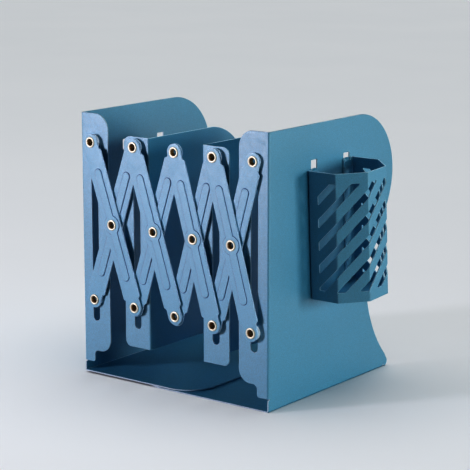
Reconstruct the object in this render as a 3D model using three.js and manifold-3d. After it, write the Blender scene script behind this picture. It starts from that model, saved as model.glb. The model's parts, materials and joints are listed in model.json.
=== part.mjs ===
// Expanding desktop book shelf: two sheet-metal end plates and two hanging
// dividers, joined on the front by a riveted scissor linkage, with a slotted
// pen holder hooked on the right-hand end plate.
// Units are millimetres, +Z up, +X to the right seen from the front, +Y to the rear.
import * as THREE from 'three';
import { mergeVertices } from 'three/addons/utils/BufferGeometryUtils.js';
import Module from 'manifold-3d';

const wasm = await Module();
wasm.setup();

// ---------------------------------------------------------------- driving dimensions
const SHEET = 1.0;                 // sheet thickness of all folded plates
const HEIGHT = 200;                // end plates, top edge above the table
const WIDTH = 172.5;               // over both end plates, as photographed
const DEPTH = 159;                 // right end plate, front face to rear edge
const DEPTH_LEFT = 154;            // left end plate, a little shallower at the top
const TOP_RADIUS = 46;             // rear top corner of the side panels
const FOOT_END = 156;              // rear end of the foot at the table
const WAIST_Y = 124;               // narrowest place of the rear edge
const WAIST_Z = 80;

const FLANGE_W = 26;               // front flange of an end plate
const FLANGE_R = 12;               // its inner top corner
const FLANGE_LOW = 19;             // its lower edge
const TAB_LOW = 10;                // lower end of the narrow tab next to the fold
const TAB_W = 10;

const DIV_FLANGE_W = 24;           // front flange of a divider
const DIV_LOW = 28;                // dividers hang clear of the base
const DIV_HIGH = 186;
const DIV_DEPTH = 118;
const DIV_R_TOP = 46;
const DIV_R_LOW = 30;

const BASE_LEFT_LEN = 106;         // upper base plate, folded from the left end
const BASE_RIGHT_LEN = 120;        // lower base plate, folded from the right end
const BASE_R = 23;
const BASE_Y0 = 0.3;
const BASE_Y1 = 150;
const BASE_GAP = 0.3;              // between the two base plates

const BAR = 126.3;                 // between the end pivots of a bar
const BAR_W = 16;
const BAR_T = 1.1;
const BEAD = 0.6;                  // height of the stiffening bead and of the middle boss
const BEAD_W = 6;
const BEAD_END = 20.5;             // end of the bead from the end pivot
const BOSS_R = 6.8;
const EYE_R = 6.2;

const COL = [12.4, 53.2, 91.6, 126.2, 160.1];   // pivot columns, from the left outer face
const PIVOT_Z = 178.9;             // fixed top pivots
const HOLE_R = 3.05;               // holes for the tubular rivets, half the slot width
const LOOSE_R = 4.25;              // lower eye of a rear bar: opened pivot with clearance
const SLOT_Z0 = 42.5;              // round lower end of the long slot
const SLOT_Z1 = 160;               // round upper end

const TUBE_R = 2.7;                // tubular rivet
const BORE_R = 2.35;
const RIM_R = 4.2;
const RIM_T = 0.6;
const WASHER_R = 5.7;

// layers in front of the flange face (front is -Y)
const Y_REAR_BAR = -1.3;           // rear face of the rear bars
const Y_FRONT_BAR = -3.2;          // rear face of the front bars
const GAP = 0.1;                   // between stacked pieces of the linkage

// pen holder: five sides of a regular octagon, open at the top and towards the panel
const PH_SIDE = 23.5;
const PH_X = WIDTH + 0.3;
const PH_MID = [73.94, 168.87];    // middle of its rim, y and z
const PH_TILT = 3.47;              // it hangs a little askew, its foot to the rear, degrees
const PH_HEIGHT = 94.3;
const PH_LIP = 12;                 // narrow back flanges lying on the panel
const HOOK_W = 5.6;
const HOOK_LIP = 3.6;              // how far a hook hangs down behind the panel
const HOOK_SLOTS_RIGHT = [54.3, 95.5];   // slot centres in the side panels, y
const HOOK_SLOTS_LEFT = [49.5, 90.5];
const HOOK_SLOT_W = 7.6;
const HOOK_SLOT_Z0 = 166.2;
const HOOK_SLOT_Z1 = 174.2;
const VENT_PITCH = 16.7;           // diagonal vents, measured along the vertical
const VENT_H = 6.6;
const VENT_START = -34.5;           // upper edge of the first vent at the front border, from the rim
const VENT_EDGE = 8;               // plain border at the sides
const VENT_BORDER = 7.7;           // plain border at top and bottom

const PH_C = PH_SIDE / Math.SQRT2;
const PH_WIDE = 2 * PH_C + PH_SIDE;

const ORIGIN = new THREE.Vector3(WIDTH / 2, 79.5, 0);

// ---------------------------------------------------------------- materials
const paint = () => new THREE.MeshStandardMaterial({ color: 0x5f8fb4, roughness: 0.55, metalness: 0.15 });
const paintDark = () => new THREE.MeshStandardMaterial({ color: 0x4a84a5, roughness: 0.55, metalness: 0.15 });
const brass = () => new THREE.MeshStandardMaterial({ color: 0xd9b98a, roughness: 0.3, metalness: 0.9 });
const steel = () => new THREE.MeshStandardMaterial({ color: 0xa9afb8, roughness: 0.35, metalness: 0.9 });

// ---------------------------------------------------------------- solids
function solid(geometry) {
  const g = geometry.index ? geometry.toNonIndexed() : geometry.clone();
  g.deleteAttribute('normal');
  g.deleteAttribute('uv');
  const m = mergeVertices(g, 1e-5);
  return new wasm.Manifold(new wasm.Mesh({
    numProp: 3,
    vertProperties: new Float32Array(m.attributes.position.array),
    triVerts: new Uint32Array(m.index.array),
  }));
}
function geometryOf(manifold) {
  const mesh = manifold.getMesh();
  const g = new THREE.BufferGeometry();
  const n = mesh.vertProperties.length / mesh.numProp;
  const p = new Float32Array(n * 3);
  for (let i = 0; i < n; i++) {
    for (let k = 0; k < 3; k++) p[3 * i + k] = mesh.vertProperties[mesh.numProp * i + k];
  }
  g.setAttribute('position', new THREE.BufferAttribute(p, 3));
  g.setIndex(new THREE.BufferAttribute(new Uint32Array(mesh.triVerts), 1));
  return g;
}
function shapeOf(points, holes = []) {
  const s = new THREE.Shape(points.map(([a, b]) => new THREE.Vector2(a, b)));
  for (const h of holes) s.holes.push(new THREE.Path(h.map(([a, b]) => new THREE.Vector2(a, b))));
  return s;
}
function slab(points, holes, thickness) {
  return new THREE.ExtrudeGeometry(shapeOf(points, holes), { depth: thickness, bevelEnabled: false, steps: 1 });
}
// outline in (y, z), thickness along x
function slabX(points, holes, x0, x1) {
  const g = slab(points, holes, x1 - x0);
  g.applyMatrix4(new THREE.Matrix4().set(0, 0, 1, x0, 1, 0, 0, 0, 0, 1, 0, 0, 0, 0, 0, 1));
  return g;
}
// outline in (x, z), thickness along y
function slabY(points, holes, y0, y1) {
  const g = slab(points, holes, y1 - y0);
  g.applyMatrix4(new THREE.Matrix4().set(1, 0, 0, 0, 0, 0, -1, y1, 0, 1, 0, 0, 0, 0, 0, 1));
  return g;
}
// outline in (x, y), thickness along z
function slabZ(points, holes, z0, z1) {
  const g = slab(points, holes, z1 - z0);
  g.applyMatrix4(new THREE.Matrix4().makeTranslation(0, 0, z0));
  return g;
}
function arc(cx, cy, r, a0, a1, n) {
  const out = [];
  for (let i = 0; i <= n; i++) {
    const a = THREE.MathUtils.degToRad(a0 + (a1 - a0) * i / n);
    out.push([cx + r * Math.cos(a), cy + r * Math.sin(a)]);
  }
  return out;
}
function circle(cx, cy, r, n) { return arc(cx, cy, r, 0, 360, n).slice(0, -1); }
function stadium(cx, z0, z1, r, n) {       // upright slot with round ends
  return [...arc(cx, z1 - r, r, 0, 180, n), ...arc(cx, z0 + r, r, 180, 360, n)];
}
function cubic(p0, p1, p2, p3, n) {
  const out = [];
  for (let i = 0; i <= n; i++) {
    const t = i / n, s = 1 - t;
    out.push([0, 1].map((k) => s * s * s * p0[k] + 3 * s * s * t * p1[k] + 3 * s * t * t * p2[k] + t * t * t * p3[k]));
  }
  return out;
}
const mirrorX = (points, m) => points.map(([a, b]) => [m - a, b]).reverse();

// ---------------------------------------------------------------- outlines
// side panel of an end plate in (y, z): straight front and top, big round rear top
// corner, waisted rear edge and a flared foot
function sideOutline(z0, depth) {
  const pts = [[0, z0]];
  pts.push([FOOT_END - 4, z0]);
  pts.push(...arc(FOOT_END - 4, z0 + 4, 4, -60, 10, 3));
  // concave foot, circle of radius 100 about (WAIST_Y + 100, WAIST_Z)
  pts.push(...arc(WAIST_Y + 100, WAIST_Z, 100, 224.2, 180, 9));
  pts.push(...cubic([WAIST_Y, WAIST_Z], [WAIST_Y, 104], [depth, 118], [depth, HEIGHT - TOP_RADIUS], 12).slice(1));
  pts.push(...arc(depth - TOP_RADIUS, HEIGHT - TOP_RADIUS, TOP_RADIUS, 0, 90, 14).slice(1));
  pts.push([0, HEIGHT]);
  return pts;
}
// the two slots in a side panel that take the hooks of the pen holder
function cutHookSlots(panel, centres, x0, x1) {
  let out = panel;
  for (const y of centres) {
    const box = new THREE.BoxGeometry(x1 - x0 + 2, HOOK_SLOT_W, HOOK_SLOT_Z1 - HOOK_SLOT_Z0);
    box.translate((x0 + x1) / 2, y, (HOOK_SLOT_Z0 + HOOK_SLOT_Z1) / 2);
    out = out.subtract(solid(box));
  }
  return out;
}
// front flange of an end plate in (u, z), u from the outer face of the side panel
function endFlange() {
  return [
    [0, TAB_LOW], [TAB_W - 2, TAB_LOW],
    ...arc(TAB_W - 2, TAB_LOW + 2, 2, -90, 0, 4).slice(1),
    ...arc(TAB_W + 3.5, FLANGE_LOW - 3.5, 3.5, 180, 90, 5),
    ...arc(FLANGE_W - FLANGE_R + 2, FLANGE_LOW + 10, 10, -90, 0, 7),
    ...arc(FLANGE_W - FLANGE_R, HEIGHT - FLANGE_R, FLANGE_R, 0, 90, 8),
    [0, HEIGHT],
  ];
}
// front flange of a divider in (u, z), u from the outer face of its panel
function dividerFlange() {
  return [
    [0, DIV_LOW],
    ...arc(DIV_FLANGE_W - 5, DIV_LOW + 5, 5, -90, 0, 5),
    ...arc(DIV_FLANGE_W - 6, DIV_HIGH - 6, 6, 0, 90, 6),
    [0, DIV_HIGH],
  ];
}
// panel of a divider in (y, z)
function dividerPanel() {
  return [
    [0, DIV_LOW],
    ...arc(DIV_DEPTH - DIV_R_LOW, DIV_LOW + DIV_R_LOW, DIV_R_LOW, -90, 0, 9),
    ...arc(DIV_DEPTH - DIV_R_TOP, DIV_HIGH - DIV_R_TOP, DIV_R_TOP, 0, 90, 12),
    [0, DIV_HIGH],
  ];
}
const pivotHoles = (u) => [circle(u, PIVOT_Z, HOLE_R, 20), stadium(u, SLOT_Z0, SLOT_Z1, HOLE_R, 9)];

// ---------------------------------------------------------------- folded plates
function endPlate(side) {
  // built for the left end, mirrored for the right one
  const left = side === 'left';
  const z0 = left ? SHEET + BASE_GAP : 0;
  const len = left ? BASE_LEFT_LEN : BASE_RIGHT_LEN;
  const flip = (pts) => (left ? pts : mirrorX(pts, WIDTH));
  const x0 = left ? 0 : WIDTH - SHEET;
  const outline = sideOutline(z0, left ? DEPTH_LEFT : DEPTH);
  const centres = left ? HOOK_SLOTS_LEFT : HOOK_SLOTS_RIGHT;
  const panel = cutHookSlots(solid(slabX(outline, [], x0, x0 + SHEET)), centres, x0, x0 + SHEET);
  const flange = solid(slabY(flip(endFlange()), pivotHoles(COL[0]).map(flip), 0, SHEET));
  const base = solid(slabZ(flip([
    [0, BASE_Y0],
    ...arc(len - BASE_R, BASE_Y0 + BASE_R, BASE_R, -90, 0, 9),
    ...arc(len - BASE_R, BASE_Y1 - BASE_R, BASE_R, 0, 90, 9),
    [0, BASE_Y1],
  ]), [], z0, z0 + SHEET));
  return geometryOf(panel.add(flange).add(base));
}
function divider(side) {
  const left = side === 'left';
  const outer = left ? COL[1] + 12 : COL[3] - 12;      // face that carries the fold
  const place = (pts) => (left
    ? pts.map(([u, z]) => [outer - u, z]).reverse()
    : pts.map(([u, z]) => [outer + u, z]));
  const panel = solid(slabX(dividerPanel(), [], left ? outer - SHEET : outer, left ? outer : outer + SHEET));
  const flange = solid(slabY(place(dividerFlange()), pivotHoles(12).map(place), 0, SHEET));
  return geometryOf(panel.add(flange));
}

// ---------------------------------------------------------------- scissor bars
// a bar lies along local z, its middle pivot is the local origin in x and z
function barGeometry(yRear, lowR) {
  const h = BAR / 2, w = BAR_W / 2;
  const outline = [
    ...arc(0, h, EYE_R, 0, 180, 12),
    [-EYE_R, h - 6.2], [-w, h - 7.3], [-w, -h + 7.3], [-EYE_R, -h + 6.2],
    ...arc(0, -h, EYE_R, 180, 360, 12),
    [EYE_R, -h + 6.2], [w, -h + 7.3], [w, h - 7.3], [EYE_R, h - 6.2],
  ];
  const holes = [circle(0, h, HOLE_R, 18), circle(0, -h, lowR, 18)];
  const plate = solid(slabY(outline, holes, yRear - BAR_T, yRear));
  const b = h - BEAD_END;
  const bead = solid(slabY(stadium(0, -b, b, BEAD_W / 2, 6), [], yRear - BAR_T - BEAD, yRear - BAR_T + 0.4));
  const boss = solid(slabY(circle(0, 0, BOSS_R, 24), [], yRear - BAR_T - BEAD, yRear - BAR_T + 0.4));
  const hole = solid(slabY(circle(0, 0, HOLE_R, 18), [], yRear - 3, yRear + 1));
  return geometryOf(plate.add(bead).add(boss).subtract(hole));
}

// ---------------------------------------------------------------- turned parts
function ring(profile, segments) {          // closed profile in (r, y)
  const pts = profile.map(([r, y]) => new THREE.Vector2(r, y));
  pts.push(pts[0].clone());
  return geometryOf(solid(new THREE.LatheGeometry(pts, segments)));
}
// tubular rivet from the rear rim (yRear is its rear face) to the front rim (yFront)
function rivetGeometry(yFront, yRear) {
  return ring([
    [BORE_R, yFront], [3.7, yFront], [RIM_R, yFront + RIM_T * 0.6], [RIM_R, yFront + RIM_T],
    [TUBE_R, yFront + RIM_T], [TUBE_R, yRear - RIM_T], [RIM_R, yRear - RIM_T], [RIM_R, yRear], [BORE_R, yRear],
  ], 14);
}
const washerGeometry = (y0, y1) => ring([[HOLE_R, y0], [WASHER_R, y0], [WASHER_R, y1], [HOLE_R, y1]], 14);

// ---------------------------------------------------------------- pen holder
function clip(poly, inside, cross) {
  const out = [];
  for (let i = 0; i < poly.length; i++) {
    const a = poly[i], b = poly[(i + 1) % poly.length];
    const ia = inside(a), ib = inside(b);
    if (ia) out.push(a);
    if (ia !== ib) out.push(cross(a, b));
  }
  return out;
}
const clipAxis = (poly, k, v, keepLess) => (poly.length ? clip(
  poly, (p) => (keepLess ? p[k] <= v : p[k] >= v),
  (a, b) => { const t = (v - a[k]) / (b[k] - a[k]); return [a[0] + t * (b[0] - a[0]), a[1] + t * (b[1] - a[1])]; },
) : poly);

// built upright about the middle of its rim: u outwards from the panel, v to the rear,
// z up, then tilted about the line through that middle
function penHolderGeometry() {
  const a = PH_SIDE, c = PH_C, wd = PH_WIDE, t = SHEET, k = t * Math.tan(Math.PI / 8);
  const outer = [[0, PH_LIP], [0, 0], [a, 0], [a + c, c], [a + c, c + a], [a, wd], [0, wd], [0, wd - PH_LIP]];
  const inner = [[t, wd - PH_LIP], [t, wd - t], [a - k, wd - t], [a + c - t, c + a - k], [a + c - t, c + k],
    [a - k, t], [t, t], [t, PH_LIP]];
  const move = (pts) => pts.map(([x, y]) => [x, y - wd / 2]);
  const top = 0, low = -PH_HEIGHT;
  let body = solid(slabZ(move([...outer, ...inner]), [], low, top));
  body = body.add(solid(slabZ(move([[0, 0], [a, 0], [a + c, c], [a + c, c + a], [a, wd], [0, wd]]), [], low, low + t)));
  // hooks: a tab through the panel slot and a lip that hangs behind the panel
  for (const yh of HOOK_SLOTS_RIGHT) {
    const y = (yh - PH_MID[0]) / Math.cos(THREE.MathUtils.degToRad(PH_TILT));
    const y0 = y - HOOK_W / 2, y1 = y + HOOK_W / 2, xl = -(PH_X - WIDTH) - SHEET - 1.6;
    body = body.add(solid(slabZ([[xl, y0], [0.5, y0], [0.5, y1], [xl, y1]], [], top - t, top)));
    body = body.add(solid(slabZ([[xl, y0], [xl + t, y0], [xl + t, y1], [xl, y1]], [], top - t - HOOK_LIP, top)));
  }
  // diagonal vents run round the folds, so each is cut face by face
  const corners = [[0, 0], [a, 0], [a + c, c], [a + c, c + a], [a, wd], [0, wd]];
  const z0 = low + VENT_BORDER, z1 = top - VENT_BORDER;
  for (let f = 0; f < 5; f++) {
    const [p, q] = [corners[f], corners[f + 1]];
    const dir = new THREE.Vector2(q[0] - p[0], q[1] - p[1]).normalize();
    const s0 = f * a, s1 = s0 + a;
    const lo = Math.max(VENT_EDGE, s0 - 0.5), hi = Math.min(5 * a - VENT_EDGE, s1 + 0.5);
    for (let n = -1; n <= 10; n++) {
      const upper = (s) => VENT_START + (s - VENT_EDGE) - VENT_PITCH * n;
      let poly = [[lo, upper(lo) - VENT_H], [hi, upper(hi) - VENT_H], [hi, upper(hi)], [lo, upper(lo)]];
      poly = clipAxis(clipAxis(poly, 1, z1, true), 1, z0, false);
      if (poly.length < 3) continue;
      const xs = poly.map((v) => v[0]), zs = poly.map((v) => v[1]);
      if (Math.max(...xs) - Math.min(...xs) < 1.2 || Math.max(...zs) - Math.min(...zs) < 1.2) continue;
      // outline in (s, z) on the face, cut through along the face's outward normal
      const g = new THREE.ExtrudeGeometry(shapeOf(poly), { depth: 4, bevelEnabled: false, steps: 1 });
      const out = new THREE.Vector2(dir.y, -dir.x);
      const ox = p[0] - dir.x * s0 - out.x * 2.5, oy = p[1] - wd / 2 - dir.y * s0 - out.y * 2.5;
      g.applyMatrix4(new THREE.Matrix4().set(
        dir.x, 0, out.x, ox, dir.y, 0, out.y, oy, 0, 1, 0, 0, 0, 0, 0, 1));
      body = body.subtract(solid(g));
    }
  }
  return geometryOf(body);
}

// ---------------------------------------------------------------- assembly
const shelf = new THREE.Group();
const frame = new THREE.Group();
frame.position.copy(ORIGIN).multiplyScalar(-1);
shelf.add(frame);

function add(name, geometry, material, x = 0, y = 0, z = 0, tilt = 0) {
  const mesh = new THREE.Mesh(geometry, material);
  mesh.name = name;
  mesh.position.set(x, y, z);
  mesh.rotation.y = tilt;
  frame.add(mesh);
  return mesh;
}

add('left_end_plate', endPlate('left'), paintDark());
add('right_end_plate', endPlate('right'), paintDark());
add('left_divider', divider('left'), paint());
add('right_divider', divider('right'), paint());
const holder = add('pen_holder', penHolderGeometry(), paint(), PH_X, PH_MID[0], PH_MID[1]);
holder.rotation.x = THREE.MathUtils.degToRad(PH_TILT);

// bars: number n is the cell from the left, between columns n-1 and n
const tilt = [0, 1, 2, 3, 4].map((n) => (n ? Math.asin((COL[n] - COL[n - 1]) / BAR) : 0));
const drop = tilt.map((t) => BAR * Math.cos(t));
for (let n = 1; n <= 4; n++) {
  const x = (COL[n - 1] + COL[n]) / 2, z = PIVOT_Z - drop[n] / 2;
  add(`front_bar_${n}`, barGeometry(Y_FRONT_BAR, HOLE_R), paint(), x, 0, z, -tilt[n]);
  add(`rear_bar_${n}`, barGeometry(Y_REAR_BAR, n === 1 ? HOLE_R : LOOSE_R), paint(), x, 0, z, tilt[n]);
}

// stack faces
const frontSeat = Y_FRONT_BAR - BAR_T;               // face of a front bar's eye
const rearSeat = Y_REAR_BAR - BAR_T;                 // face of a rear bar's eye
const rivet = (front, rear) => rivetGeometry(front - GAP - RIM_T, rear + GAP + RIM_T);
const lowZ = [PIVOT_Z - drop[1], PIVOT_Z - drop[1], PIVOT_Z - drop[2], PIVOT_Z - drop[3], PIVOT_Z - drop[4]];
for (let i = 0; i <= 4; i++) {
  const topFront = i === 4 ? rearSeat : frontSeat;   // column 4 has only a rear bar at the top
  const lowFront = i === 0 ? rearSeat : frontSeat;   // column 0 has only a rear bar at the bottom
  const rear = i === 2 ? Y_REAR_BAR : SHEET;         // column 2 has no plate
  add(`top_rivet_${i}`, rivet(topFront, rear), brass(), COL[i], 0, PIVOT_Z);
  add(`bottom_rivet_${i}`, rivet(lowFront, rear), brass(), COL[i], 0, lowZ[i]);
  if (i > 0) {
    add(`middle_rivet_${i}`, rivet(frontSeat - BEAD, Y_REAR_BAR), brass(),
      (COL[i - 1] + COL[i]) / 2, 0, PIVOT_Z - drop[i] / 2);
  }
  // washers between the flange and the rear bar, and between the two bars
  const back = () => washerGeometry(Y_REAR_BAR + GAP, -GAP);
  const mid = () => washerGeometry(Y_FRONT_BAR + GAP, rearSeat - GAP);
  const tall = () => washerGeometry(Y_FRONT_BAR + GAP, Y_REAR_BAR);
  if (i !== 2) {
    add(`top_back_washer_${i}`, back(), steel(), COL[i], 0, PIVOT_Z);
    add(`bottom_back_washer_${i}`, back(), steel(), COL[i], 0, lowZ[i]);
  }
  if (i >= 1 && i <= 3) {
    add(`top_mid_washer_${i}`, mid(), steel(), COL[i], 0, PIVOT_Z);
    add(`bottom_mid_washer_${i}`, mid(), steel(), COL[i], 0, lowZ[i]);
  }
  if (i === 0) add('top_spacer_0', tall(), steel(), COL[0], 0, PIVOT_Z);
  if (i === 4) add('bottom_spacer_4', tall(), steel(), COL[4], 0, lowZ[4]);
}

export default shelf;
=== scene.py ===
# Looks of the expanding desktop book shelf: folded sheet plates, pressed scissor bars,
# rolled eyelets, washers and a slotted pen holder, on a plain pale floor.
import json
import math

import bpy
import numpy as np
from mathutils import Matrix, Vector
from mathutils.geometry import delaunay_2d_cdt


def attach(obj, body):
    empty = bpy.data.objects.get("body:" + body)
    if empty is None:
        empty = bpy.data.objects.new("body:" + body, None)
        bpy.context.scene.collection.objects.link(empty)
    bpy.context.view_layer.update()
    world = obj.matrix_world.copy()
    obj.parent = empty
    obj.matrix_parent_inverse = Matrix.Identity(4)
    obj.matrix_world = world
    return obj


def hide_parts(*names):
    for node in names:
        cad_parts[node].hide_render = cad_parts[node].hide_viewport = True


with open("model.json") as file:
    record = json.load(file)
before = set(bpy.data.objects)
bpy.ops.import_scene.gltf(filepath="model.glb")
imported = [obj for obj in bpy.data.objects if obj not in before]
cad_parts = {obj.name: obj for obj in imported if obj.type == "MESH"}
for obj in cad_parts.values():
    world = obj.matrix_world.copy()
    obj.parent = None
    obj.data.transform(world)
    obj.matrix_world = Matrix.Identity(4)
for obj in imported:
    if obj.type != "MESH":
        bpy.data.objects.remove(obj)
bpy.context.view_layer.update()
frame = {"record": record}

# ------------------------------------------------------------------ dimensions, mm
# x to the right from the left outer face, y to the rear from the front face, z up
ORIGIN = np.array([86.25, 79.5, 0.0])
SHEET = 1.0
HEIGHT = 200.0
WIDTH = 172.5
BEND = 1.4                     # outer radius of the folds
COL = [12.4, 53.2, 91.6, 126.2, 160.1]
PIVOT_Z = 178.9
HOLE_R = 3.05
LOOSE_R = 4.25
BAR = 126.3
BAR_T = 1.1
BEAD = 0.6
EYE_R = 6.2
Y_REAR_BAR = -1.3
Y_FRONT_BAR = -3.2
GAP = 0.1
RIM_T = 0.6
BORE_R = 2.2
TUBE_R = 2.7
RIM_R = 4.05
WASHER_R = 5.7
PH_SIDE = 23.5
PH_X = WIDTH + 0.3
PH_MID = (73.94, 168.87)
PH_TILT = math.radians(3.47)
PH_HEIGHT = 94.3
PH_LIP = 12.0
HOOKS = (54.3, 95.5)


# ------------------------------------------------------------------ outlines
def arc(cx, cy, r, a0, a1, n):
    t = [math.radians(a0 + (a1 - a0) * i / n) for i in range(n + 1)]
    return [(cx + r * math.cos(a), cy + r * math.sin(a)) for a in t]


def circle(cx, cy, r, n=40):
    return arc(cx, cy, r, 0, 360, n)[:-1]


def stadium(cx, z0, z1, r, n=14):
    return arc(cx, z1 - r, r, 0, 180, n) + arc(cx, z0 + r, r, 180, 360, n)


def cubic(p0, p1, p2, p3, n):
    out = []
    for i in range(n + 1):
        t = i / n
        s = 1 - t
        out.append(tuple(s**3 * p0[k] + 3 * s * s * t * p1[k] + 3 * s * t * t * p2[k] + t**3 * p3[k] for k in (0, 1)))
    return out


def signed_area(pts):
    p = np.asarray(pts, float)
    q = np.roll(p, -1, 0)
    return 0.5 * float(np.sum(p[:, 0] * q[:, 1] - q[:, 0] * p[:, 1]))


def turned(pts, ccw):
    """The outline without doubled points, running the asked way round."""
    out = []
    for p in pts:
        if not out or math.dist(p, out[-1]) > 1e-4:
            out.append((float(p[0]), float(p[1])))
    if math.dist(out[0], out[-1]) < 1e-4:
        out.pop()
    if (signed_area(out) > 0) != ccw:
        out.reverse()
    return out


def rounded(pts, r, n=4):
    """Every corner sharper than 25 degrees gets a small radius."""
    out = []
    m = len(pts)
    for i in range(m):
        a, b, c = (np.array(pts[(i + k) % m]) for k in (-1, 0, 1))
        u, v = a - b, c - b
        lu, lv = np.linalg.norm(u), np.linalg.norm(v)
        u, v = u / lu, v / lv
        inner = math.acos(max(-1.0, min(1.0, float(u @ v))))
        if math.pi - inner < math.radians(25):
            out.append(tuple(b))
            continue
        back = min(r / math.tan(inner / 2), 0.45 * lu, 0.45 * lv)
        rr = back * math.tan(inner / 2)
        mid = (u + v) / np.linalg.norm(u + v)
        centre = b + mid * (rr / math.sin(inner / 2))
        p0, p1 = b + u * back - centre, b + v * back - centre
        a0 = math.atan2(p0[1], p0[0])
        turn = (math.atan2(p1[1], p1[0]) - a0 + math.pi) % (2 * math.pi) - math.pi
        for k in range(n + 1):
            t = a0 + turn * k / n
            out.append((centre[0] + rr * math.cos(t), centre[1] + rr * math.sin(t)))
    return out


def shifted(pts, d):
    """The outline moved by d to the left of its direction, into the material."""
    p = np.asarray(pts, float)
    e = np.roll(p, -1, 0) - p
    e /= np.linalg.norm(e, axis=1)[:, None]
    n1 = np.stack([-e[:, 1], e[:, 0]], 1)
    n0 = np.roll(n1, 1, 0)
    k = 1 + np.sum(n0 * n1, 1)
    return p + (n0 + n1) / np.maximum(k, 0.35)[:, None] * d


def split_at(rings, lines):
    """rings: matching outlines of one contour, the first being the rim of its flat face. Adds a point to each where
    that rim crosses a fold line, a (axis, value, low, high), low and high bounding it along the other axis.
    Returns the rings and, for each line, which of their points lie on it."""
    items = [([r[i] for r in rings], None) for i in range(len(rings[0]))]
    for k, (axis, value, low, high) in enumerate(lines):
        new = []
        for i, a in enumerate(items):
            b = items[(i + 1) % len(items)]
            new.append(a)
            da, db = a[0][0][axis] - value, b[0][0][axis] - value
            if da * db < 0:
                t = da / (da - db)
                other = a[0][0][1 - axis] + t * (b[0][0][1 - axis] - a[0][0][1 - axis])
                if low < other < high:
                    new.append(([p + t * (q - p) for p, q in zip(a[0], b[0])], k))
        items = new
    tags = [[i for i, it in enumerate(items) if it[1] == k] for k in range(len(lines))]
    return [[it[0][j] for it in items] for j in range(len(rings))], tags


class Solid:
    """Gathers loops of points on a thin sheet: p and q along it, w through it, h how far it is pressed out."""

    def __init__(self):
        self.p, self.w, self.h, self.tone, self.faces = [], [], [], [], []

    def loop(self, pts, w, h=0.0, tone=0.0):
        first = len(self.p)
        for q in pts:
            self.p.append((float(q[0]), float(q[1])))
            self.w.append(w)
            self.h.append(h)
            self.tone.append(tone)
        return list(range(first, len(self.p)))

    def band(self, a, b):
        m = len(a)
        for i in range(m):
            j = (i + 1) % m
            self.faces.append((a[i], a[j], b[j], b[i]))


def triangulated(loops, links):
    """Triangles, counter-clockwise, of the area that lies inside an odd number of the loops."""
    pts = [p for lp in loops for p in lp]
    edges, first = [], 0
    for lp in loops:
        m = len(lp)
        edges += [(first + i, first + (i + 1) % m) for i in range(m)]
        first += m
    edges += links
    out = delaunay_2d_cdt([Vector(p) for p in pts], edges, [], 0, 1e-6, True)
    co, tris, origin = out[0], out[2], out[3]
    if len(co) != len(pts):
        raise ValueError(f"the outline crosses itself: {len(pts)} points in, {len(co)} out")
    back = [o[0] for o in origin]
    xy = np.array([tuple(c) for c in co])
    t = np.array([tuple(f) for f in tris])
    cen = xy[t].mean(1)
    inside = np.zeros(len(t), bool)
    for lp in loops:
        a = np.asarray(lp, float)
        b = np.roll(a, -1, 0)
        for (x0, y0), (x1, y1) in zip(a, b):
            if y0 == y1:
                continue
            hit = (y0 > cen[:, 1]) != (y1 > cen[:, 1])
            x = x0 + (cen[:, 1] - y0) / (y1 - y0) * (x1 - x0)
            inside ^= hit & (cen[:, 0] < x)
    res = []
    for f, ok in zip(t, inside):
        if not ok:
            continue
        a, b, c = xy[f]
        area = (b[0] - a[0]) * (c[1] - a[1]) - (b[1] - a[1]) * (c[0] - a[0])
        if abs(area) < 1e-9:
            continue
        f = [back[i] for i in f]
        res.append(tuple(f) if area > 0 else tuple(reversed(f)))
    return res


def sheet_solid(outer, holes, thickness, lines=(), bevel=0.26, relief=None, levels=None, radius=0.35):
    """A flat blank with rounded rims. relief is a list of (loop, height, tone) from the foot of a pressed step inwards."""
    lines = list(lines)
    s = Solid()
    outer = rounded(turned(outer, True), radius)
    contours = [(outer, 0.0)] + [(turned(h, False), lv) for h, lv in zip(holes, levels or [0.0] * len(holes))]
    b, t = bevel, thickness
    # tone 1 on the rolled rims and cut face gives them the lighter rim colour, partly thinner paint and partly painted
    # highlight
    rim = [(b, 0.0, 0.0), (0.293 * b, 0.293 * b, 1.0), (0.0, b, 1.0), (0.0, t - b, 1.0), (0.293 * b, t - 0.293 * b, 1.0), (b, t, 0.0)]
    top_ids, low_ids, flat, crossings = [], [], [], [[] for _ in lines]
    for contour, h in contours:
        flats, tags = split_at([shifted(contour, d) for d, w, tone in rim], lines)
        rings = [s.loop(pts, w, h, tone) for pts, (d, w, tone) in zip(flats, rim)]
        for a, c in zip(rings, rings[1:]):
            s.band(c, a)
        base = len(top_ids)
        for k, on in enumerate(tags):
            crossings[k] += [(flats[0][i][1 - lines[k][0]], base + i) for i in on]
        top_ids += rings[0]
        low_ids += rings[-1]
        flat.append([s.p[i] for i in rings[0]])
    if relief:
        tops = [s.loop(lp, 0.0, h, tone) for lp, h, tone in relief]
        lows = [s.loop(lp, t, h) for lp, h, tone in relief]
        for a, c in zip(tops, tops[1:]):
            s.band(a, c)
        for a, c in zip(lows, lows[1:]):
            s.band(c, a)
        for k in (0, -1):
            top_ids += tops[k]
            low_ids += lows[k]
            flat.append([s.p[i] for i in tops[k]])
    links = []
    for k, found in enumerate(crossings):
        found.sort()
        if len(found) % 2:
            raise ValueError(f"fold line {lines[k]} is crossed {len(found)} times")
        links += [(found[i][1], found[i + 1][1]) for i in range(0, len(found), 2)]
    for f in triangulated(flat, links):
        s.faces.append(tuple(top_ids[i] for i in f))
        s.faces.append(tuple(low_ids[i] for i in reversed(f)))
    return s


# ------------------------------------------------------------------ meshes
PIECES = {}


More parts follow.
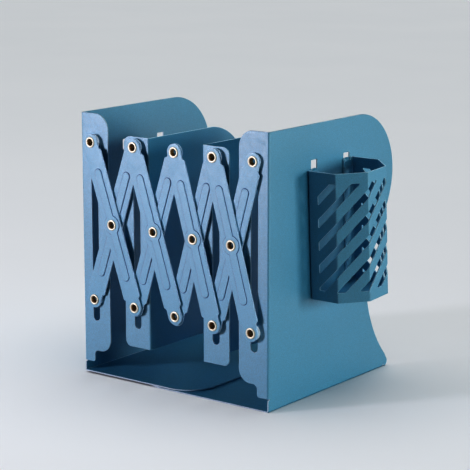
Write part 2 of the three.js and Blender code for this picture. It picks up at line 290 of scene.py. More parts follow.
def mesh_object(name, parts, body, nodes, material):
    """parts: list of (points in mm, faces, tone per point), each a closed surface of its own."""
    verts, faces, tones = [], [], []
    for pts, fs, tone in parts:
        pts = np.asarray(pts, float)
        vol = 0.0
        for f in fs:
            a = pts[f[0]]
            for i in range(1, len(f) - 1):
                vol += float(np.dot(a, np.cross(pts[f[i]], pts[f[i + 1]])))
        first = len(verts)
        verts += [tuple((p - ORIGIN) / 1000.0) for p in pts]
        faces += [tuple(first + i for i in (f if vol > 0 else reversed(f))) for f in fs]
        tones += list(tone)
    me = bpy.data.meshes.new(name)
    me.from_pydata(verts, [], faces)
    me.update()
    attribute = me.attributes.new("tone", "FLOAT", "POINT")
    attribute.data.foreach_set("value", np.asarray(tones, np.float32))
    # area-weighted normals keep the flat faces flat and let the rims roll
    co = np.array(verts)
    normals = np.zeros_like(co)
    for f in faces:
        p = co[list(f)]
        n = np.zeros(3)
        for i in range(1, len(f) - 1):
            n += np.cross(p[i] - p[0], p[i + 1] - p[0])
        for i in f:
            normals[i] += n
    length = np.linalg.norm(normals, axis=1)
    normals /= np.maximum(length, 1e-20)[:, None]
    me.polygons.foreach_set("use_smooth", [True] * len(me.polygons))
    me.normals_split_custom_set_from_vertices([tuple(n) for n in normals])
    me.materials.append(material)
    ob = bpy.data.objects.new(name, me)
    bpy.context.scene.collection.objects.link(ob)
    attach(ob, body)
    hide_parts(*nodes)
    PIECES[name] = ob
    return ob


BODY_OF = {n: b for b, ns in frame["record"]["behaviour"]["bodies"].items() for n in ns}


def shown(node, parts, material):
    return mesh_object(node + "_form", parts, BODY_OF[node], [node], material)


# ------------------------------------------------------------------ materials
def material(name):
    m = bpy.data.materials.new(name)
    m.use_nodes = True
    m.node_tree.nodes.clear()
    return m, m.node_tree.nodes, m.node_tree.links


def put(nodes, kind, **values):
    n = nodes.new(kind)
    for key, v in values.items():
        if key.startswith("in_"):
            n.inputs[int(key[3:])].default_value = v
        else:
            setattr(n, key, v)
    return n


def set_in(node, **values):
    for key, v in values.items():
        node.inputs[key.replace("_", " ")].default_value = v


def paint(name, colour, rim_paint_and_highlight, roughness=0.50, metallic=0.0, gloss=1.0, grain=0.0007, seed=0.0):
    """Fine powder coat: tiny grain in the surface, a slow drift in tone, a lighter and duller colour on cut rims (tone
    1), partly thinner paint and partly a painted highlight, and a darker, duller line at the foot of a step (tone -1),
    painted shade."""
    m, nodes, links = material(name)
    out = put(nodes, "ShaderNodeOutputMaterial")
    bsdf = put(nodes, "ShaderNodeBsdfPrincipled")
    links.new(bsdf.outputs[0], out.inputs[0])
    geo = put(nodes, "ShaderNodeTexCoord")
    move = put(nodes, "ShaderNodeMapping")
    move.inputs["Location"].default_value = (seed, seed * 0.37, -seed * 0.61)
    links.new(geo.outputs["Object"], move.inputs["Vector"])
    fine = put(nodes, "ShaderNodeTexNoise")
    set_in(fine, Scale=1.0 / grain, Detail=2.0, Roughness=0.55)
    mid = put(nodes, "ShaderNodeTexNoise")
    set_in(mid, Scale=420.0, Detail=3.0, Roughness=0.6)
    slow = put(nodes, "ShaderNodeTexNoise")
    set_in(slow, Scale=16.0, Detail=3.0, Roughness=0.5)
    for n in (fine, mid, slow):
        links.new(move.outputs["Vector"], n.inputs["Vector"])
    speck = put(nodes, "ShaderNodeMapRange")
    for k, v in zip(("From Min", "From Max", "To Min", "To Max"), (0.3, 0.7, 0.84, 1.16)):
        speck.inputs[k].default_value = v
    links.new(fine.outputs[0], speck.inputs["Value"])
    drift = put(nodes, "ShaderNodeMapRange")
    for k, v in zip(("From Min", "From Max", "To Min", "To Max"), (0.3, 0.7, 0.955, 1.045)):
        drift.inputs[k].default_value = v
    links.new(slow.outputs[0], drift.inputs["Value"])
    both = put(nodes, "ShaderNodeMath", operation="MULTIPLY")
    links.new(speck.outputs[0], both.inputs[0])
    links.new(drift.outputs[0], both.inputs[1])
    tone = put(nodes, "ShaderNodeAttribute", attribute_name="tone")
    # lighter colour on cut rims where tone is 1: partly thinner paint, partly painted highlight
    rim = put(nodes, "ShaderNodeMix", data_type="RGBA")
    rim.inputs["A"].default_value = (*colour, 1)
    rim.inputs["B"].default_value = (*rim_paint_and_highlight, 1)
    links.new(tone.outputs["Fac"], rim.inputs["Factor"])
    under = put(nodes, "ShaderNodeMath", operation="MULTIPLY", in_1=-1.0)
    links.new(tone.outputs["Fac"], under.inputs[0])
    # painted shade: where tone is -1, the foot of a pressed step turns deep blue
    crease_shade = put(nodes, "ShaderNodeMix", data_type="RGBA")
    crease_shade.inputs["B"].default_value = (0.0, colour[1] * 0.20, colour[2] * 0.46, 1)
    links.new(rim.outputs["Result"], crease_shade.inputs["A"])
    links.new(under.outputs[0], crease_shade.inputs["Factor"])
    scaled = put(nodes, "ShaderNodeVectorMath", operation="SCALE")
    links.new(crease_shade.outputs["Result"], scaled.inputs[0])
    links.new(both.outputs[0], scaled.inputs["Scale"])
    links.new(scaled.outputs[0], bsdf.inputs["Base Color"])
    rough = put(nodes, "ShaderNodeMapRange")
    for k, v in zip(("From Min", "From Max", "To Min", "To Max"), (0.3, 0.7, roughness - 0.05, roughness + 0.06)):
        rough.inputs[k].default_value = v
    links.new(mid.outputs[0], rough.inputs["Value"])
    worked = put(nodes, "ShaderNodeMath", operation="ABSOLUTE")
    links.new(tone.outputs["Fac"], worked.inputs[0])
    dull = put(nodes, "ShaderNodeMath", operation="MULTIPLY_ADD", use_clamp=True, in_1=0.3)
    links.new(worked.outputs[0], dull.inputs[0])
    links.new(rough.outputs[0], dull.inputs[2])
    links.new(dull.outputs[0], bsdf.inputs["Roughness"])
    bump = put(nodes, "ShaderNodeBump")
    bump.inputs["Strength"].default_value = 0.35
    bump.inputs["Distance"].default_value = 0.00004
    links.new(fine.outputs[0], bump.inputs["Height"])
    wide = put(nodes, "ShaderNodeBump")
    wide.inputs["Strength"].default_value = 0.25
    wide.inputs["Distance"].default_value = 0.00012
    links.new(mid.outputs[0], wide.inputs["Height"])
    links.new(bump.outputs[0], wide.inputs["Normal"])
    links.new(wide.outputs[0], bsdf.inputs["Normal"])
    bsdf.inputs["Metallic"].default_value = metallic
    bsdf.inputs["IOR"].default_value = 1.75
    bsdf.inputs["Specular IOR Level"].default_value = gloss
    return m


def metal(name, colour, shade_colour, roughness, metallic=1.0, lines=0.0):
    """Plated metal with faint drawing marks. Where tone is 1, as in a bore, it is darker: painted shade."""
    m, nodes, links = material(name)
    out = put(nodes, "ShaderNodeOutputMaterial")
    bsdf = put(nodes, "ShaderNodeBsdfPrincipled")
    links.new(bsdf.outputs[0], out.inputs[0])
    geo = put(nodes, "ShaderNodeTexCoord")
    stretch = put(nodes, "ShaderNodeMapping")
    stretch.inputs["Scale"].default_value = (1.0, 0.25, 1.0)
    links.new(geo.outputs["Object"], stretch.inputs["Vector"])
    grain = put(nodes, "ShaderNodeTexNoise")
    set_in(grain, Scale=1500.0, Detail=2.0, Roughness=0.5)
    blot = put(nodes, "ShaderNodeTexNoise")
    set_in(blot, Scale=260.0, Detail=2.0, Roughness=0.5)
    for n in (grain, blot):
        links.new(stretch.outputs["Vector"], n.inputs["Vector"])
    tone = put(nodes, "ShaderNodeAttribute", attribute_name="tone")
    mix = put(nodes, "ShaderNodeMix", data_type="RGBA")
    mix.inputs["A"].default_value = (*colour, 1)
    mix.inputs["B"].default_value = (*shade_colour, 1)
    links.new(tone.outputs["Fac"], mix.inputs["Factor"])
    vary = put(nodes, "ShaderNodeMapRange")
    for k, v in zip(("From Min", "From Max", "To Min", "To Max"), (0.3, 0.7, 0.88, 1.08)):
        vary.inputs[k].default_value = v
    links.new(blot.outputs[0], vary.inputs["Value"])
    scaled = put(nodes, "ShaderNodeVectorMath", operation="SCALE")
    links.new(mix.outputs["Result"], scaled.inputs[0])
    links.new(vary.outputs[0], scaled.inputs["Scale"])
    links.new(scaled.outputs[0], bsdf.inputs["Base Color"])
    rough = put(nodes, "ShaderNodeMapRange")
    for k, v in zip(("From Min", "From Max", "To Min", "To Max"), (0.3, 0.7, roughness - 0.05, roughness + 0.08)):
        rough.inputs[k].default_value = v
    links.new(grain.outputs[0], rough.inputs["Value"])
    links.new(rough.outputs[0], bsdf.inputs["Roughness"])
    bump = put(nodes, "ShaderNodeBump")
    bump.inputs["Strength"].default_value = 0.2
    bump.inputs["Distance"].default_value = 0.00003
    links.new(grain.outputs[0], bump.inputs["Height"])
    links.new(bump.outputs[0], bsdf.inputs["Normal"])
    bsdf.inputs["Metallic"].default_value = metallic
    return m


# RIM, BAR_RIM and the holder's rim colour are lighter than the coat: partly thinner paint on cut edges, partly painted
# highlight
COAT = (0.058, 0.335, 0.535)
RIM = (0.620, 0.770, 0.900)
BAR_RIM = (0.480, 0.650, 0.840)
plate_paint = paint("plate_paint", COAT, RIM, seed=0.0)
bar_paint = paint("bar_paint", COAT, BAR_RIM, seed=3.1)
holder_paint = paint("holder_paint", COAT, (0.50, 0.72, 0.86), seed=7.7)
# each metal's second colour is painted shade, for bores and rim edges
rivet_brass = metal("rivet_brass", (0.78, 0.735, 0.60), (0.44, 0.25, 0.09), 0.42, metallic=0.50)
washer_steel = metal("washer_steel", (0.86, 0.89, 0.96), (0.3, 0.3, 0.34), 0.34, metallic=0.2)


# ------------------------------------------------------------------ folded plates
def fold(c, w, r=BEND):
    """Across a right-angled fold: c below -r runs along the flange, above r along the panel. Gives the distances
    from the panel's outer face and from the flange's outer face, for a point w inside the outer face."""
    t = np.clip((c + r) / (2 * r), 0, 1) * (math.pi / 2)
    along = np.where(c < -r, -c, np.where(c > r, w, r - (r - w) * np.sin(t)))
    away = np.where(c < -r, w, np.where(c > r, c, r - (r - w) * np.cos(t)))
    return along, away


def fold_lines(axis, low, high, n=8, r=BEND):
    return [(axis, -r + 2 * r * k / n + 0.0003, low, high) for k in range(n + 1)]


def end_plate(side):
    left = side == "left"
    z0 = 1.3 if left else 0.0
    length = 106.0 if left else 120.0
    depth = 154.0 if left else 159.0
    slots = (49.5, 90.5) if left else HOOKS
    # p: depth on the panel, minus the width on the flange; q: height over the base's underside, minus the width on the base
    pts = []
    # front flange, from its top inner corner down
    pts += [(-a, b) for a, b in reversed(arc(14, 188, 12, 0, 90, 16))]
    pts += [(-a, b) for a, b in reversed(arc(16, 29, 10, -90, 0, 14))]
    pts += [(-a, b) for a, b in reversed(arc(13.5, 15.5, 3.5, 180, 90, 10))]
    pts += [(-a, b) for a, b in reversed(arc(8, 12, 2, -90, 0, 8))]
    pts += [(BEND + 0.5, 10.0), (BEND + 0.5, 8.8), (0.3, 8.8)]
    pts = [(a, b - z0) for a, b in pts]
    # base plate, from its front edge round to its rear edge
    pts += [(b, -a) for a, b in arc(length - 23, 23.3, 23, -90, 0, 16)]
    pts += [(b, -a) for a, b in arc(length - 23, 127, 23, 0, 90, 16)]
    pts += [(150.0, BEND + 0.5), (151.2, BEND + 0.5), (151.2, 0.0)]
    # foot, waist, shoulder and top
    rear = arc(152, 4 + z0, 4, -60, 10, 8)
    rear += arc(224, 80, 100, 224.2, 180, 24)
    rear += cubic((124, 80), (124, 104), (depth, 118), (depth, 154), 28)[1:]
    rear += arc(depth - 46, 154, 46, 0, 90, 30)[1:]
    pts += [(152.0, 0.0)] + [(a, b - z0) for a, b in rear]
    holes = [circle(-COL[0], PIVOT_Z - z0, HOLE_R), stadium(-COL[0], 42.5 - z0, 160 - z0, HOLE_R)]
    for y in slots:
        a, b, c, d = y - 3.8, y + 3.8, 166.2 - z0, 174.2 - z0
        holes.append(rounded([(a, c), (b, c), (b, d), (a, d)], 0.5))
    lines = fold_lines(0, 9.4 - z0, 201) + fold_lines(1, -1, 150.6)
    s = sheet_solid(pts, holes, SHEET, lines)
    p, w = np.array(s.p), np.array(s.w)
    a, b = p[:, 0], p[:, 1]
    x, y, z = w.copy(), a.copy(), b.copy()
    front = (a < BEND) & (b > 9.4 - z0)
    fx, fy = fold(a, w)
    x[front], y[front] = fx[front], fy[front]
    base = (b < BEND) & (a < 150.6) & ~front
    bx, bz = fold(b, w)
    x[base], z[base] = bx[base], bz[base]
    z += z0
    if not left:
        x = WIDTH - x
    tone = np.array(s.tone)
    # a light line along the inner fold of the base: painted highlight
    tone[(np.abs(b) < 0.8) & (w > 0.5) & ~front] = 0.9
    return [(np.stack([x, y, z], 1), s.faces, tone)]


def divider(side):
    left = side == "left"
    outer = COL[1] + 12 if left else COL[3] - 12
    pts = []
    pts += [(-a, b) for a, b in reversed(arc(18, 180, 6, 0, 90, 12))]
    pts += [(-a, b) for a, b in reversed(arc(19, 33, 5, -90, 0, 12))]
    pts += arc(88, 58, 30, -90, 0, 22)
    pts += arc(72, 140, 46, 0, 90, 30)
    holes = [circle(-12, PIVOT_Z, HOLE_R), stadium(-12, 42.5, 160, HOLE_R)]
    s = sheet_solid(pts, holes, SHEET, fold_lines(0, 20, 190))
    p, w = np.array(s.p), np.array(s.w)
    x, y = fold(p[:, 0], w)
    z = p[:, 1]
    x = outer - x if left else outer + x
    return [(np.stack([x, y, z], 1), s.faces, s.tone)]


# ------------------------------------------------------------------ pressed bars
def bead_loop(grow):
    """Outline of the raised bead with its middle boss, grown by that much; always the same number of points."""
    a, r, end = 3.0 + grow, 6.8 + grow, BAR / 2 - 20.5 - 3.0
    zi = math.sqrt(r * r - a * a)
    phi = math.degrees(math.atan2(zi, a))
    pts = arc(0, end, a, 0, 180, 16)
    pts += arc(0, 0, r, 180 - phi, 180 + phi, 22)
    pts += arc(0, -end, a, 180, 360, 16)
    pts += arc(0, 0, r, -phi, phi, 22)
    return pts


def bar(x, z, angle, y_rear, low_r):
    h, w2 = BAR / 2, 8.0
    pts = arc(0, h, EYE_R, 0, 180, 26)
    pts += [(-EYE_R, h - 6.2), (-w2, h - 7.6), (-w2, -h + 7.6), (-EYE_R, -h + 6.2)]
    pts += arc(0, -h, EYE_R, 180, 360, 26)
    pts += [(EYE_R, -h + 6.2), (w2, -h + 7.6), (w2, h - 7.6), (EYE_R, h - 6.2)]
    holes = [circle(0, h, HOLE_R), circle(0, -h, low_r), circle(0, 0, HOLE_R)]
    # at the bead's foot the negative tones are painted shade; the positive tones on its upper shoulder are a painted
    # highlight
    step = [(0.66, 0.0, 0.0), (0.46, 0.0, -0.45), (0.30, 0.0, -0.85), (0.17, 0.035, -1.0), (0.08, 0.13, -0.9), (-0.08, BEAD - 0.13, 0.2),
            (-0.17, BEAD - 0.035, 0.85), (-0.30, BEAD, 0.5), (-0.42, BEAD, 0.0)]
    relief = [(bead_loop(g), v, tone) for g, v, tone in step]
    s = sheet_solid(pts, holes, BAR_T, (), bevel=0.26, relief=relief, levels=[0.0, 0.0, BEAD], radius=0.8)
    p, w, hh = np.array(s.p), np.array(s.w), np.array(s.h)
    ca, sa = math.cos(angle), math.sin(angle)
    wx = x + p[:, 0] * ca + p[:, 1] * sa
    wz = z - p[:, 0] * sa + p[:, 1] * ca
    wy = y_rear - BAR_T + w - hh
    return [(np.stack([wx, wy, wz], 1), s.faces, s.tone)]


# ------------------------------------------------------------------ turned parts
def turned_part(profile, tones, x, z, n=40):
    """A closed profile of (radius, y) spun about the pivot axis."""
    m = len(profile)
    pts, tone, faces = [], [], []
    for k in range(n):
        t = 2 * math.pi * k / n
        for (r, y), v in zip(profile, tones):
            pts.append((x + r * math.cos(t), y, z + r * math.sin(t)))
            tone.append(v)
    for k in range(n):
        for i in range(m):
            a, b = k * m + i, k * m + (i + 1) % m
            c, d = ((k + 1) % n) * m + (i + 1) % m, ((k + 1) % n) * m + i
            faces.append((a, b, c, d))
    return [(np.array(pts), faces, tone)]


def rivet(y_front, y_rear, x, z):
    prof, tones = [], []

    def add(r, y, t=0.0):
        prof.append((r, y))
        tones.append(t)

    mid, half, rise = (RIM_R + 2.5) / 2, (RIM_R - 2.5) / 2, RIM_T * 0.86
    # tone darkens the brass at the outer and inner edges of the front rim, down the bore and at the bore side of the
    # rear rim: painted shade
    for k in range(0, 9):                        # front rim, outside to bore
        t = math.pi * k / 8
        add(mid + half * math.cos(t), y_front + rise - rise * math.sin(t), (0.9, 0.3, 0, 0, 0, 0, 0.1, 0.5, 0.9)[k])
    add(2.36, y_front + rise + 0.35, 1.0)
    add(BORE_R, y_front + rise + 1.0, 1.0)
    add(BORE_R, (y_front + y_rear) / 2 + 0.3, 1.0)
    add(BORE_R, y_rear - rise - 0.5, 1.0)
    mid, half = (RIM_R + BORE_R) / 2, (RIM_R - BORE_R) / 2
    for k in range(10, -1, -1):                  # rear rim, bore to outside
        t = math.pi * k / 10
        add(mid + half * math.cos(t), y_rear - rise + rise * math.sin(t), 0.0 if k < 9 else 0.35)
    add(RIM_R - 0.06, y_rear - RIM_T)
    add(TUBE_R + 0.05, y_rear - RIM_T)
    add(TUBE_R, y_rear - RIM_T - 0.05)
    add(TUBE_R, y_front + RIM_T + 0.05)
    add(TUBE_R + 0.05, y_front + RIM_T)
    add(RIM_R - 0.06, y_front + RIM_T)
    return turned_part(prof, tones, x, z)


def washer(y0, y1, x, z):
    b, c = 0.12, min(0.42, 0.45 * abs(y1 - y0))
    prof = [(HOLE_R + b, y0)]
    prof += [(WASHER_R - c + c * math.sin(t), y0 + c - c * math.cos(t)) for t in (0, 0.4, 0.8, 1.2, math.pi / 2)]
    prof += [(WASHER_R - c + c * math.cos(t), y1 - c + c * math.sin(t)) for t in (0, 0.4, 0.8, 1.2, math.pi / 2)]
    prof += [(HOLE_R + b, y1), (HOLE_R, y1 - b), (HOLE_R, y0 + b)]
    # tone 1 darkens the washer's bore: painted shade
    return turned_part(prof, [0.0] * 12 + [1.0, 1.0], x, z)


# ------------------------------------------------------------------ pen holder
PH_C = PH_SIDE / math.sqrt(2)
PH_WIDE = 2 * PH_C + PH_SIDE
PH_BEND = 1.5
PH_CORNERS = [(0, PH_LIP), (0, 0), (PH_SIDE, 0), (PH_SIDE + PH_C, PH_C), (PH_SIDE + PH_C, PH_C + PH_SIDE),
              (PH_SIDE, PH_WIDE), (0, PH_WIDE), (0, PH_WIDE - PH_LIP)]
PH_AT = [-PH_LIP, 0, PH_SIDE, 2 * PH_SIDE, 3 * PH_SIDE, 4 * PH_SIDE, 5 * PH_SIDE, 5 * PH_SIDE + PH_LIP]
HOOK_R = 0.4


def strip(s, w):
    """Along the folded wall of the holder: s from the end of one back lip to the end of the other, w inside it."""
    c = np.array(PH_CORNERS, float)
    u, v = np.zeros_like(s), np.zeros_like(s)
    for k in range(7):
        d = (c[k + 1] - c[k]) / np.linalg.norm(c[k + 1] - c[k])
        n = np.array([-d[1], d[0]])
        on = (s >= PH_AT[k]) if k else np.ones(len(s), bool)
        base = c[k] + np.outer(s - PH_AT[k], d) + np.outer(w, n)
        u[on], v[on] = base[on, 0], base[on, 1]
    for k in range(1, 7):
        d0 = (c[k] - c[k - 1]) / np.linalg.norm(c[k] - c[k - 1])
        d1 = (c[k + 1] - c[k]) / np.linalg.norm(c[k + 1] - c[k])
        turn = math.acos(float(d0 @ d1))
        tang = PH_BEND * math.tan(turn / 2)
        on = np.abs(s - PH_AT[k]) <= tang
        if not on.any():
            continue
        centre = c[k] - d0 * tang + np.array([-d0[1], d0[0]]) * PH_BEND
        a0 = math.atan2(-d0[0], d0[1])
        t = a0 + turn * (s[on] - PH_AT[k] + tang) / (2 * tang)
        r = PH_BEND - w[on]
        u[on], v[on] = centre[0] + r * np.cos(t), centre[1] + r * np.sin(t)
    return u, v


def clipped(poly, axis, value, keep_less):
    out = []
    for i in range(len(poly)):
        a, b = poly[i], poly[(i + 1) % len(poly)]
        ia, ib = ((p[axis] <= value) if keep_less else (p[axis] >= value) for p in (a, b))
        if ia:
            out.append(a)
        if ia != ib:
            t = (value - a[axis]) / (b[axis] - a[axis])
            out.append((a[0] + t * (b[0] - a[0]), a[1] + t * (b[1] - a[1])))
    return out


def pen_holder():
    mid_v = PH_WIDE / 2
    hooks = []
    for y in HOOKS:
        v = (y - PH_MID[0]) / math.cos(PH_TILT) + mid_v
        hooks.append(-v if v < mid_v else PH_AT[6] + (PH_WIDE - v))
    low = -PH_HEIGHT
    hw, reach, top = 2.8, 5.7, -1.9
    # wall blank with both hooks on its upper edge, relieved beside each hook
    blank = [(PH_AT[0], low), (PH_AT[7], low), (PH_AT[7], 0)]
    h = hooks[1]
    blank += [(h + hw + 0.8, 0), (h + hw + 0.8, top), (h + hw, top), (h + hw, reach), (h - hw, reach), (h - hw, top),
              (h - hw - 0.8, top), (h - hw - 0.8, 0)]
    h = hooks[0]
    blank += [(h + hw + 0.8, 0), (h + hw + 0.8, top), (h + hw, top), (h + hw, reach), (h - hw, reach), (h - hw, top),
              (PH_AT[0], top)]
    vents = []
    z0, z1, s0, s1 = low + 7.7, -7.7, 8.0, 5 * PH_SIDE - 8.0
    for n in range(-1, 11):
        up = lambda s: -34.5 + (s - 8.0) - 16.7 * n
        poly = [(s0, up(s0) - 6.6), (s1, up(s1) - 6.6), (s1, up(s1)), (s0, up(s0))]
        poly = clipped(clipped(poly, 1, z1, True), 1, z0, False)
        if len(poly) < 3:
            continue
        poly = turned(poly, True)
        span = np.ptp(np.array(poly), 0)
        if span.min() > 1.2:
            vents.append(rounded(poly, 0.5, 3))
    lines = []
    for k in range(1, 7):
        turn = math.pi / 2 if k in (1, 6) else math.pi / 4
        tang = PH_BEND * math.tan(turn / 2)
        m = 7 if k in (1, 6) else 4
        lines += [(0, PH_AT[k] - tang + 2 * tang * j / m, low - 1, 1.0) for j in range(m + 1)]
    z_c = -1.0 - HOOK_R
    run = 1.1
    for h in hooks:
        lines += [(1, z_c - z_c * j / 5, h - 3.1, h + 3.1) for j in range(6)]
        lines += [(1, run - z_c * j / 5, h - 3.1, h + 3.1) for j in range(6)]
    s = sheet_solid(blank, vents, SHEET, lines, bevel=0.2, radius=0.4)
    p, w = np.array(s.p), np.array(s.w)
    u, v = strip(p[:, 0], w)
    z = p[:, 1].copy()
    for h in hooks:
        on = (np.abs(p[:, 0] - h) < 3.1) & (p[:, 1] > z_c)
        q, ww = p[on, 1], w[on]
        r = HOOK_R + ww
        first = np.clip((q - z_c) / -z_c, 0, 1) * math.pi / 2
        second = np.clip((q - run) / -z_c, 0, 1) * math.pi / 2 + math.pi / 2
        hu = -HOOK_R + r * np.cos(first)
        hz = z_c + r * np.sin(first)
        flat = (q > 0) & (q <= run)
        hu[flat] = -HOOK_R - q[flat]
        bent = q > run
        hu[bent] = -HOOK_R - run + r[bent] * np.cos(second[bent])
        hz[bent] = z_c + r[bent] * np.sin(second[bent])
        end = q > run - z_c
        hz[end] = z_c - (q[end] - run + z_c)
        u[on], z[on] = hu, hz
    parts = [[u, v, z, s]]
    # floor plate between the walls
    k = SHEET * math.tan(math.pi / 8) + 0.02
    t = SHEET + 0.04
    a, c, wd = PH_SIDE, PH_C, PH_WIDE
    plan = [(0.1, t), (a - k, t), (a + c - t, c + k), (a + c - t, c + a - k), (a - k, wd - t), (0.1, wd - t)]
    f = sheet_solid(plan, [], SHEET, (), bevel=0.12, radius=0.8)
    fp, fw = np.array(f.p), np.array(f.w)
    parts.append([fp[:, 0], fp[:, 1], low + SHEET - fw + 0.02, f])
    out = []
    ca, sa = math.cos(PH_TILT), math.sin(PH_TILT)
    for pu, pv, pz, src in parts:
        y = pv - mid_v
        out.append((np.stack([PH_X + pu, PH_MID[0] + y * ca - pz * sa, PH_MID[1] + y * sa + pz * ca], 1), src.faces, src.tone))
    return out


# ------------------------------------------------------------------ assembly
shown("left_end_plate", end_plate("left"), plate_paint)
shown("right_end_plate", end_plate("right"), plate_paint)
shown("left_divider", divider("left"), plate_paint)
shown("right_divider", divider("right"), plate_paint)
shown("pen_holder", pen_holder(), holder_paint)

tilt = [0.0] + [math.asin((COL[n] - COL[n - 1]) / BAR) for n in range(1, 5)]
drop = [BAR * math.cos(t) for t in tilt]
for n in range(1, 5):
    bx, bz = (COL[n - 1] + COL[n]) / 2, PIVOT_Z - drop[n] / 2
    shown(f"front_bar_{n}", bar(bx, bz, -tilt[n], Y_FRONT_BAR, HOLE_R), bar_paint)
    shown(f"rear_bar_{n}", bar(bx, bz, tilt[n], Y_REAR_BAR, HOLE_R if n == 1 else LOOSE_R), bar_paint)

front_seat, rear_seat = Y_FRONT_BAR - BAR_T, Y_REAR_BAR - BAR_T
low_z = [PIVOT_Z - drop[1], PIVOT_Z - drop[1], PIVOT_Z - drop[2], PIVOT_Z - drop[3], PIVOT_Z - drop[4]]


def rivet_through(node, front, rear, x, z):
    shown(node, rivet(front - GAP - RIM_T, rear + GAP + RIM_T, x, z), rivet_brass)


def washer_at(node, y0, y1, x, z):
    shown(node, washer(y0, y1, x, z), washer_steel)


for i in range(5):
    top_front = rear_seat if i == 4 else front_seat
    low_front = rear_seat if i == 0 else front_seat
    rear = Y_REAR_BAR if i == 2 else SHEET
    rivet_through(f"top_rivet_{i}", top_front, rear, COL[i], PIVOT_Z)
    rivet_through(f"bottom_rivet_{i}", low_front, rear, COL[i], low_z[i])
    if i > 0:
        rivet_through(f"middle_rivet_{i}", front_seat - BEAD, Y_REAR_BAR, (COL[i - 1] + COL[i]) / 2, PIVOT_Z - drop[i] / 2)
    if i != 2:
        washer_at(f"top_back_washer_{i}", Y_REAR_BAR + GAP, -GAP, COL[i], PIVOT_Z)
        washer_at(f"bottom_back_washer_{i}", Y_REAR_BAR + GAP, -GAP, COL[i], low_z[i])
    if 1 <= i <= 3:
        washer_at(f"top_mid_washer_{i}", Y_FRONT_BAR + GAP, rear_seat - GAP, COL[i], PIVOT_Z)
        washer_at(f"bottom_mid_washer_{i}", Y_FRONT_BAR + GAP, rear_seat - GAP, COL[i], low_z[i])
    if i == 0:
        washer_at("top_spacer_0", Y_FRONT_BAR + GAP, Y_REAR_BAR, COL[0], PIVOT_Z)
    if i == 4:
        washer_at("bottom_spacer_4", Y_FRONT_BAR + GAP, Y_REAR_BAR, COL[4], low_z[4])


# ------------------------------------------------------------------ floor
def floor():
    size, n = 9.0, 24
    pts = [(size * (2 * i / n - 1), size * (2 * j / n - 1), 0.0) for j in range(n + 1) for i in range(n + 1)]
    faces = [(j * (n + 1) + i, j * (n + 1) + i + 1, (j + 1) * (n + 1) + i + 1, (j + 1) * (n + 1) + i) for j in range(n) for i in range(n)]
    me = bpy.data.meshes.new("floor")
    me.from_pydata(pts, [], faces)
    me.update()
    ob = bpy.data.objects.new("floor", me)
    bpy.context.scene.collection.objects.link(ob)
    m, nodes, links = material("floor_pale")
    out = put(nodes, "ShaderNodeOutputMaterial")
    bsdf = put(nodes, "ShaderNodeBsdfPrincipled")
    links.new(bsdf.outputs[0], out.inputs[0])
    geo = put(nodes, "ShaderNodeTexCoord")
    noise = put(nodes, "ShaderNodeTexNoise")
    set_in(noise, Scale=3.0, Detail=4.0, Roughness=0.5)
    links.new(geo.outputs["Object"], noise.inputs["Vector"])
    ramp = put(nodes, "ShaderNodeMix", data_type="RGBA")
    ramp.inputs["A"].default_value = (0.78, 0.79, 0.80, 1)
    ramp.inputs["B"].default_value = (0.82, 0.825, 0.83, 1)
    links.new(noise.outputs[0], ramp.inputs["Factor"])
    links.new(ramp.outputs["Result"], bsdf.inputs["Base Color"])
    bsdf.inputs["Roughness"].default_value = 0.9
    bsdf.inputs["Specular IOR Level"].default_value = 0.0
    me.materials.append(m)
    return ob


ground = floor()
ground.visible_diffuse = False


def backdrop():
    """A pale wall far out all round, as bright as the far floor, for views from low down. It lights nothing."""
    n, r, h = 96, 8.7, 7.0
    ring = [(r * math.cos(2 * math.pi * i / n), r * math.sin(2 * math.pi * i / n)) for i in range(n)]
    pts = [(x, y, z) for z in (-0.01, h) for x, y in ring]
    faces = [((i + 1) % n, i, n + i, n + (i + 1) % n) for i in range(n)]
    me = bpy.data.meshes.new("backdrop")
    me.from_pydata(pts, [], faces)
    me.update()
    ob = bpy.data.objects.new("backdrop", me)
    bpy.context.scene.collection.objects.link(ob)
    m, nodes, links = material("backdrop_pale")
    out = put(nodes, "ShaderNodeOutputMaterial")
    glow = put(nodes, "ShaderNodeEmission")
    glow.inputs["Color"].default_value = (0.655, 0.675, 0.69, 1)
    links.new(glow.outputs[0], out.inputs[0])
    me.materials.append(m)
    ob.visible_diffuse = ob.visible_glossy = ob.visible_transmission = ob.visible_shadow = False


backdrop()


# ------------------------------------------------------------------ light
def area_light(name, place, target, size, power, colour):
    data = bpy.data.lights.new(name, "AREA")
    data.shape = "RECTANGLE"
    data.size, data.size_y = size
    data.energy = power
    data.color = colour
    ob = bpy.data.objects.new(name, data)
    bpy.context.scene.collection.objects.link(ob)
    ob.location = place
    ob.rotation_mode = "QUATERNION"
    ob.rotation_quaternion = (Vector(target) - Vector(place)).to_track_quat("-Z", "Y")
    return ob


def around(azimuth, elevation, distance, centre=(0.0, 0.0, 0.1)):
    """A place seen from the object: azimuth 0 is in front, 90 on the right."""
    a, e = math.radians(azimuth), math.radians(elevation)
    return Vector(centre) + distance * Vector((math.sin(a) * math.cos(e), -math.cos(a) * math.cos(e), math.sin(e)))


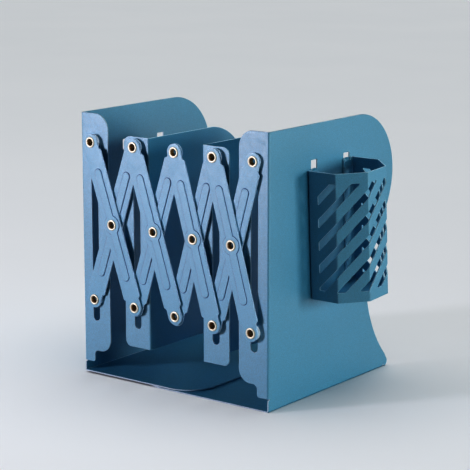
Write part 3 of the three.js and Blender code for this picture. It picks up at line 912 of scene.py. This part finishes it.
middle = (0.0, -0.02, 0.10)
area_light("key", around(-33, 7.3, 1.7), middle, (0.22, 0.22), 19.0, (0.965, 0.905, 1.0))
fill = area_light("fill", around(90, 7.5, 2.4), middle, (0.8, 0.8), 18.8, (0.72, 0.99, 0.96))
side = area_light("side", around(117, 6.5, 2.4), middle, (0.6, 0.6), 19.8, (0.84, 1.0, 1.0))
top = area_light("top", around(150, 74, 2.4), middle, (1.2, 1.2), 1.6, (0.45, 0.92, 1.0))
back_light = area_light("back", around(194, 5, 2.4), middle, (1.2, 1.2), 15.0, (0.55, 0.93, 1.0))
rear = area_light("rear", around(258, 30, 2.4), middle, (1.5, 1.5), 20.0, (0.80, 0.96, 1.0))
above = area_light("above", around(0, 89, 2.2), middle, (0.9, 0.9), 19.0, (0.92, 0.98, 1.0))
edge = area_light("edge", around(72, 10, 2.4), middle, (0.8, 0.8), 16.5, (0.90, 0.95, 1.0))

# an even light from above for the floor alone
sky = bpy.data.lights.new("floor_light", "SUN")
sky.energy = 2.65
sky.angle = math.radians(80)
sky.color = (0.97, 0.985, 1.0)
sky_ob = bpy.data.objects.new("floor_light", sky)
bpy.context.scene.collection.objects.link(sky_ob)
only_floor = bpy.data.collections.new("lit_floor")
only_floor.objects.link(ground)
sky_ob.light_linking.receiver_collection = only_floor
all_but_floor = bpy.data.collections.new("not_lit_floor")
all_but_floor.objects.link(ground)
all_but_floor.collection_objects[0].light_linking.link_state = "EXCLUDE"
for lamp in (fill, side, rear, top, back_light):
    lamp.light_linking.receiver_collection = all_but_floor
# a low light on the right ends and rims of the linkage
linkage = bpy.data.collections.new("linkage")
for name, ob in PIECES.items():
    if "bar_" in name or "washer" in name or "spacer" in name or "rivet" in name:
        linkage.objects.link(ob)
edge.light_linking.receiver_collection = linkage
# a light from above for the upper rims of everything but the end plates, whose bases stay dim
hung = bpy.data.collections.new("hung")
for name, ob in PIECES.items():
    if "end_plate" not in name:
        hung.objects.link(ob)
above.light_linking.receiver_collection = hung
# a soft light over the right end on the dividers' panels
over = area_light("over", around(96, 42, 2.4), middle, (1.0, 1.0), 9.0, (0.35, 0.97, 1.0))
panels = bpy.data.collections.new("dividers")
for name, ob in PIECES.items():
    if "divider" in name:
        panels.objects.link(ob)
over.light_linking.receiver_collection = panels

world = bpy.data.worlds.new("room")
world.use_nodes = True
bpy.context.scene.world = world
wn, wl = world.node_tree.nodes, world.node_tree.links
wn.clear()
wo = wn.new("ShaderNodeOutputWorld")
bg = wn.new("ShaderNodeBackground")
bg.inputs["Color"].default_value = (0.30, 0.90, 1.0, 1)
bg.inputs["Strength"].default_value = 0.014
wl.new(bg.outputs[0], wo.inputs[0])

# ------------------------------------------------------------------ camera
cam_data = bpy.data.cameras.new("camera")
cam_data.sensor_width = 36.0
cam_data.lens = 132.93
cam_data.clip_start, cam_data.clip_end = 0.05, 60.0
cam = bpy.data.objects.new("camera", cam_data)
bpy.context.scene.collection.objects.link(cam)
az, el, roll = 0.649262482, 0.204683147, 0.000280765
back = Vector((math.sin(az) * math.cos(el), -math.cos(az) * math.cos(el), math.sin(el)))
right = Vector((math.cos(az), math.sin(az), 0.0))
up = back.cross(right)
r2 = math.cos(roll) * right + math.sin(roll) * up
u2 = -math.sin(roll) * right + math.cos(roll) * up
cam.matrix_world = Matrix((
    (r2.x, u2.x, back.x, 0.776659),
    (r2.y, u2.y, back.y, -1.027710),
    (r2.z, u2.z, back.z, 0.371984),
    (0, 0, 0, 1),
))
bpy.context.scene.camera = cam
bpy.context.scene.view_settings.view_transform = "Standard"
bpy.context.scene.view_settings.gamma = 0.70
